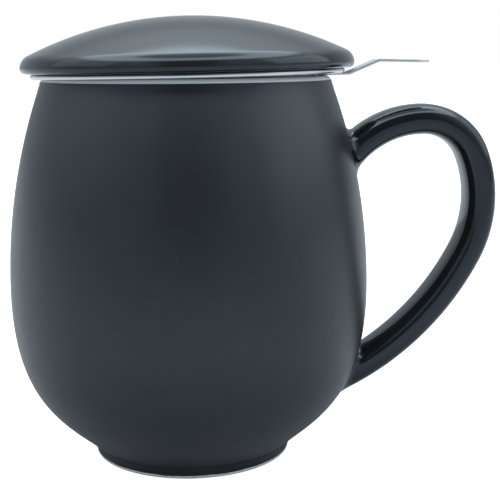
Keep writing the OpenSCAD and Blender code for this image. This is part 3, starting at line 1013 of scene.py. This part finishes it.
world = bpy.context.scene.world or bpy.data.worlds.new("surround")
bpy.context.scene.world = world
world.use_nodes = True
tree = world.node_tree
tree.nodes.clear()
direction = add_node(tree, "ShaderNodeTexCoord").outputs["Generated"]
heading = add_node(tree, "ShaderNodeSeparateXYZ", {"Vector": direction})
behind = smooth_step(tree, heading.outputs["Y"], *BEHIND_Y)
overhead = smooth_step(tree, heading.outputs["Z"], *OVERHEAD_Z)
sideways = arithmetic(tree, "ABSOLUTE", heading.outputs["X"])
beside_camera = smooth_step(tree, sideways, *BESIDE_CAMERA_X)
sky = smooth_step(tree, heading.outputs["Z"], *BACK_SKY_Z)
back_sky = arithmetic(tree, "MULTIPLY_ADD", sky, BACK_SKY_GLOW, BACK_LEVEL)
far_left = smooth_step(tree, heading.outputs["X"], *FAR_LEFT_X)
back_level = arithmetic(tree, "MULTIPLY_ADD", far_left, BACK_LEFT_GLOW, back_sky)
side_glow = arithmetic(tree, "MULTIPLY_ADD", overhead, FRONT_HIGH_GLOW, FRONT_SIDE_GLOW)
front_low = arithmetic(tree, "MULTIPLY_ADD", beside_camera, side_glow, FRONT_LEVEL)
front_sky = smooth_step(tree, heading.outputs["Z"], *FRONT_SKY_Z)
front_level = arithmetic(tree, "MULTIPLY_ADD", front_sky, FRONT_SKY_GLOW, front_low)
round_level = between(tree, behind, front_level, back_level)
# The ring of light is open in the middle, and hangs lower and shines brighter in front
ring_tilt = arithmetic(tree, "MULTIPLY_ADD", behind, -RING_TILT, RING_TILT)
ring_height = arithmetic(tree, "ADD", heading.outputs["Z"], ring_tilt)
ring_outside = smooth_step(tree, ring_height, *RING_OUTSIDE_Z)
ring_inside = smooth_step(tree, ring_height, *RING_INSIDE_Z)
ring_light = between(tree, behind, RING_FRONT, RING_BACK)
ring = arithmetic(tree, "MULTIPLY", ring_outside, ring_inside)
gloss_level = arithmetic(tree, "MULTIPLY_ADD", ring, ring_light, round_level)
diffuse_level = arithmetic(tree, "MULTIPLY_ADD", overhead, SOFT_HIGH_GLOW, SOFT_LEVEL)
rays = add_node(tree, "ShaderNodeLightPath")
soft_level = between(tree, rays.outputs["Is Glossy Ray"], diffuse_level, gloss_level)
level = between(tree, rays.outputs["Is Camera Ray"], soft_level, 1.0)
shade = mixed(tree, rays.outputs["Is Camera Ray"], (*COOL, 1), (1, 1, 1, 1))
background = add_node(tree, "ShaderNodeBackground", {"Color": shade, "Strength": level})
add_node(tree, "ShaderNodeOutputWorld", {"Surface": background.outputs[0]})

SOFTBOX_WIDE = 0.62
SOFTBOX_HIGH = 0.40
SOFTBOX_AIM = (0, 0, 0.07)


def softbox(name, place, radiance):
    """A rectangular area light that faces the mug's middle and shines at a given radiance."""
    bpy.ops.object.select_all(action="DESELECT")
    bpy.ops.object.light_add(type="AREA", location=place)
    lamp = bpy.context.object
    lamp.name = name
    lamp.data.shape = "RECTANGLE"
    lamp.data.size, lamp.data.size_y = SOFTBOX_WIDE, SOFTBOX_HIGH
    lamp.data.energy = radiance * math.pi * SOFTBOX_WIDE * SOFTBOX_HIGH
    lamp.data.color = COOL
    lamp.rotation_euler = (Vector(SOFTBOX_AIM) - Vector(place)).to_track_quat("-Z", "Y").to_euler()


softbox("softbox_left", (-0.62, -0.12, 0.44), radiance=0.52)
softbox("softbox_right", (0.62, -0.08, 0.36), radiance=1.2)

CAMERA_PLACE = (0, -268.8 * MM, 100.4 * MM)
CAMERA_PITCH = math.radians(10.33)
CAMERA_YAW = math.radians(3.28)
CAMERA_ROLL = math.radians(-0.44)
CAMERA_LENS = 76.98

forward = Vector(
    (
        math.sin(CAMERA_YAW) * math.cos(CAMERA_PITCH),
        math.cos(CAMERA_YAW) * math.cos(CAMERA_PITCH),
        -math.sin(CAMERA_PITCH),
    )
)
level_right = Vector((math.cos(CAMERA_YAW), -math.sin(CAMERA_YAW), 0))
level_up = level_right.cross(forward)
right = math.cos(CAMERA_ROLL) * level_right + math.sin(CAMERA_ROLL) * level_up
up = -math.sin(CAMERA_ROLL) * level_right + math.cos(CAMERA_ROLL) * level_up
camera_data = bpy.data.cameras.new("photo_camera")
camera_data.sensor_width = 36
camera_data.lens = CAMERA_LENS
camera_data.clip_start = 0.01
camera_data.clip_end = 20
camera = bpy.data.objects.new("photo_camera", camera_data)
bpy.context.scene.collection.objects.link(camera)
camera.matrix_world = Matrix.Translation(CAMERA_PLACE) @ Matrix((right, up, -forward)).transposed().to_4x4()
bpy.context.scene.camera = camera
bpy.context.scene.view_settings.view_transform = "Standard"
